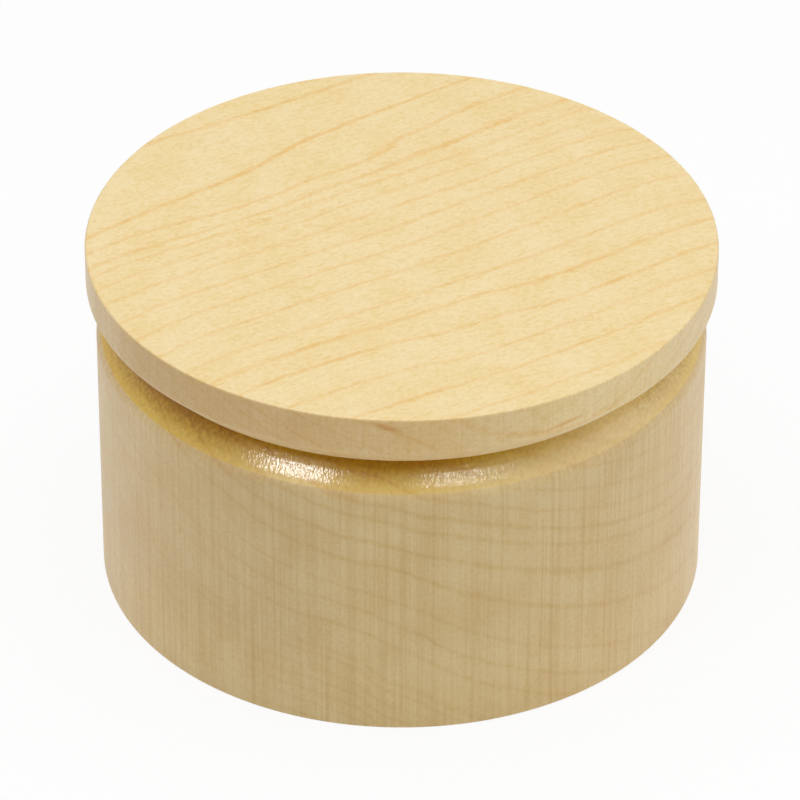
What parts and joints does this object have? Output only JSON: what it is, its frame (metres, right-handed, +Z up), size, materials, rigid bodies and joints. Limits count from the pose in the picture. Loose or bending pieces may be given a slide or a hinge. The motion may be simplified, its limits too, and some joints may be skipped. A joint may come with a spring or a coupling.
{
  "type": "trinket box",
  "caption": "Round turned wooden trinket box: a bored cup with a bevelled shoulder, and a lift-off lid that overhangs it and drops into its mouth on a spigot.",
  "frame": {"origin": "centre of the flat face that the box stands on", "axes": "+Z up along the axis that the box was turned on; X and Y are free, because the shape is round"},
  "size_m": [0.0636, 0.0636, 0.0381],
  "materials": {
    "body_maple": "maple, sanded satin outside, clear gloss lacquer on the shoulder and inside",
    "lid_maple": "maple, sanded and sealed to a satin face"
  },
  "bodies": {
    "body": {"box_body": "body_maple"},
    "lid": {"lid": "lid_maple"}
  },
  "joints": [
    {"name": "lid_lift", "type": "slide", "parent": "body", "child": "lid", "axis": [0, 0, 1], "range_m": [0, 0.05]}
  ]
}
